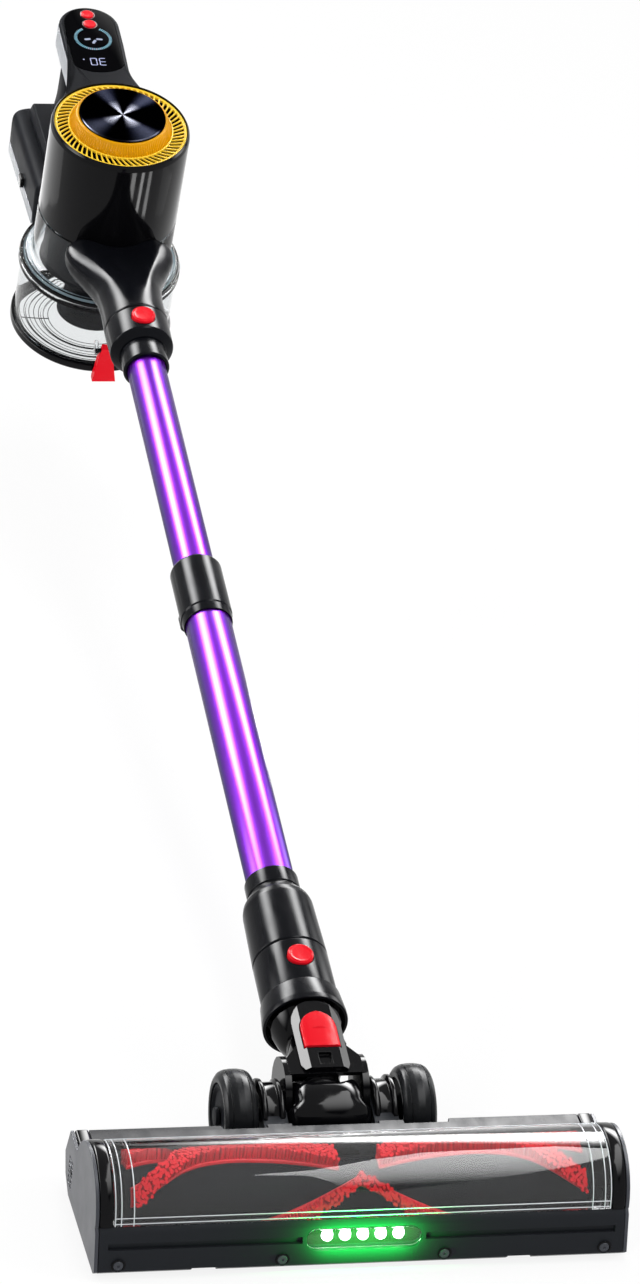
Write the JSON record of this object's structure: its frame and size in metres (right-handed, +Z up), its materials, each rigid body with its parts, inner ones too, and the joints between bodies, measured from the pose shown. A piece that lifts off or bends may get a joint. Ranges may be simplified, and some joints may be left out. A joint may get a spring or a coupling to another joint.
{
  "type": "cordless stick vacuum",
  "caption": "Cordless stick vacuum: wide motorised floor head on a tilting and swivelling neck, telescopic wand, clear cyclone dust cup, slotted filter cap, display handle, clip-on battery.",
  "frame": {"origin": "on the floor, at the middle of the glide strip under the floor head", "axes": "+X across the floor head, +Y back from the head towards the handle, +Z up"},
  "size_m": [0.316, 1.1187, 0.3521],
  "materials": {
    "gloss_black": "gloss",
    "matte_black": "satin",
    "grey_plastic": "satin",
    "purple_metal": "anodised",
    "red_plastic": "gloss",
    "yellow_plastic": "satin",
    "clear_plastic": "clear",
    "steel": "brushed",
    "dark_disc": "brushed",
    "rubber": "matt",
    "tyre": "matt",
    "bristle": "bristle",
    "filter_paper": "matt",
    "lamp": "gloss"
  },
  "bodies": {
    "main_unit": {"motor_housing": "gloss_black", "suction_motor": "steel", "dust_cup": "clear_plastic", "cyclone_cone": "matte_black", "mesh_shroud": "matte_black", "inlet_duct": "gloss_black", "duct_sleeve": "gloss_black", "handle_frame": "matte_black", "display_panel": "gloss_black", "upper_tube": "purple_metal", "wand_top_ring": "gloss_black"},
    "filter_unit": {"filter_cap": "yellow_plastic", "cap_disc": "dark_disc", "hepa_filter": "filter_paper"},
    "fan": {"fan_impeller": "matte_black"},
    "bottom_lid": {"lid_rim": "gloss_black", "lid_pane": "clear_plastic"},
    "latch": {"lid_latch": "red_plastic"},
    "battery": {"battery_pack": "matte_black"},
    "battery_latch_left": {"battery_latch_left": "matte_black"},
    "battery_latch_right": {"battery_latch_right": "matte_black"},
    "power_button": {"power_button": "red_plastic"},
    "mode_button": {"mode_button": "red_plastic"},
    "duct_button": {"duct_button": "red_plastic"},
    "lower_wand": {"lower_tube": "purple_metal", "tube_collar": "gloss_black", "connector_body": "gloss_black", "connector_sleeve": "gloss_black", "connector_skirt": "gloss_black", "elbow_body": "grey_plastic", "elbow_plate": "grey_plastic"},
    "collar_key": {"collar_key": "matte_black"},
    "connector_button": {"connector_button": "red_plastic"},
    "elbow_tab": {"elbow_tab": "red_plastic"},
    "neck": {"neck_yoke": "matte_black", "neck_shell": "gloss_black", "neck_hose": "rubber"},
    "floor_head": {"head_base": "matte_black", "sole_plate": "grey_plastic", "glide_strip": "rubber", "head_cover": "matte_black", "brush_window": "clear_plastic", "end_cap_left": "gloss_black", "end_cap_right": "gloss_black", "side_panel_left": "matte_black", "side_panel_right": "matte_black", "light_strip": "lamp", "light_lens": "clear_plastic", "brush_motor": "steel", "drive_belt": "rubber", "axle_left": "steel", "axle_right": "steel"},
    "brush_roll": {"brush_core": "matte_black", "bristle_sleeve": "bristle"},
    "motor_pulley": {"motor_pulley": "matte_black"},
    "wheel_left": {"tyre_left": "tyre", "wheel_hub_left": "gloss_black"},
    "wheel_right": {"tyre_right": "tyre", "wheel_hub_right": "gloss_black"}
  },
  "joints": [
    {"name": "wand_slide", "type": "slide", "parent": "main_unit", "child": "lower_wand", "axis": [0, 0.9659, 0.2588], "range_m": [0, 0.19]},
    {"name": "neck_swivel", "type": "hinge", "parent": "lower_wand", "child": "neck", "pos_m": [0, 0.0738, 0.04427], "axis": [0, -0.2588, 0.9659], "range_deg": [-30, 30]},
    {"name": "head_tilt", "type": "hinge", "parent": "neck", "child": "floor_head", "pos_m": [0, 0.044, 0.028], "axis": [1, 0, 0], "range_deg": [-75, 10]},
    {"name": "brush_spin", "type": "hinge", "parent": "floor_head", "child": "brush_roll", "pos_m": [0, -0.038, 0.029], "axis": [1, 0, 0], "continuous": true},
    {"name": "pulley_spin", "type": "hinge", "parent": "floor_head", "child": "motor_pulley", "pos_m": [-0.143, 0.007, 0.0225], "axis": [1, 0, 0], "continuous": true},
    {"name": "wheel_left_spin", "type": "hinge", "parent": "floor_head", "child": "wheel_left", "pos_m": [-0.054, 0.044, 0.028], "axis": [1, 0, 0], "continuous": true},
    {"name": "wheel_right_spin", "type": "hinge", "parent": "floor_head", "child": "wheel_right", "pos_m": [0.054, 0.044, 0.028], "axis": [1, 0, 0], "continuous": true},
    {"name": "fan_spin", "type": "hinge", "parent": "main_unit", "child": "fan", "pos_m": [0, 0.85406, 0.26576], "axis": [0, -0.2588, 0.9659], "continuous": true},
    {"name": "filter_lift", "type": "slide", "parent": "main_unit", "child": "filter_unit", "axis": [0, -0.2588, 0.9659], "range_m": [0, 0.06]},
    {"name": "lid_hinge", "type": "hinge", "parent": "main_unit", "child": "bottom_lid", "pos_m": [0, 0.94071, 0.17613], "axis": [1, 0, 0], "range_deg": [0, 90]},
    {"name": "latch_pivot", "type": "hinge", "parent": "main_unit", "child": "latch", "pos_m": [0, 0.82063, 0.16259], "axis": [-1, 0, 0], "range_deg": [0, 12], "stiffness_Nm_per_rad": 0.2},
    {"name": "battery_slide", "type": "slide", "parent": "main_unit", "child": "battery", "axis": [0, 0.9925, 0.1219], "range_m": [0, 0.125]},
    {"name": "battery_latch_left_press", "type": "slide", "parent": "battery", "child": "battery_latch_left", "axis": [1, 0, 0], "range_m": [0, 0.002], "stiffness_N_per_m": 200},
    {"name": "battery_latch_right_press", "type": "slide", "parent": "battery", "child": "battery_latch_right", "axis": [-1, 0, 0], "range_m": [0, 0.002], "stiffness_N_per_m": 200},
    {"name": "power_press", "type": "slide", "parent": "main_unit", "child": "power_button", "axis": [0, 0.2588, -0.9659], "range_m": [0, 0.001], "stiffness_N_per_m": 200},
    {"name": "mode_press", "type": "slide", "parent": "main_unit", "child": "mode_button", "axis": [0, 0.2588, -0.9659], "range_m": [0, 0.001], "stiffness_N_per_m": 200},
    {"name": "duct_release_press", "type": "slide", "parent": "main_unit", "child": "duct_button", "axis": [0, 0.2588, -0.9659], "range_m": [0, 0.0025], "stiffness_N_per_m": 200},
    {"name": "connector_release_press", "type": "slide", "parent": "lower_wand", "child": "connector_button", "axis": [0, 0.2588, -0.9659], "range_m": [0, 0.0025], "stiffness_N_per_m": 200},
    {"name": "collar_key_press", "type": "slide", "parent": "lower_wand", "child": "collar_key", "axis": [0, -0.2588, 0.9659], "range_m": [0, 0.0014], "stiffness_N_per_m": 200},
    {"name": "elbow_tab_press", "type": "slide", "parent": "lower_wand", "child": "elbow_tab", "axis": [0, 0.2588, -0.9659], "range_m": [0, 0.002], "stiffness_N_per_m": 200}
  ],
  "couplings": [
    {"joint": "pulley_spin", "follows": "brush_spin", "ratio": 2}
  ]
}
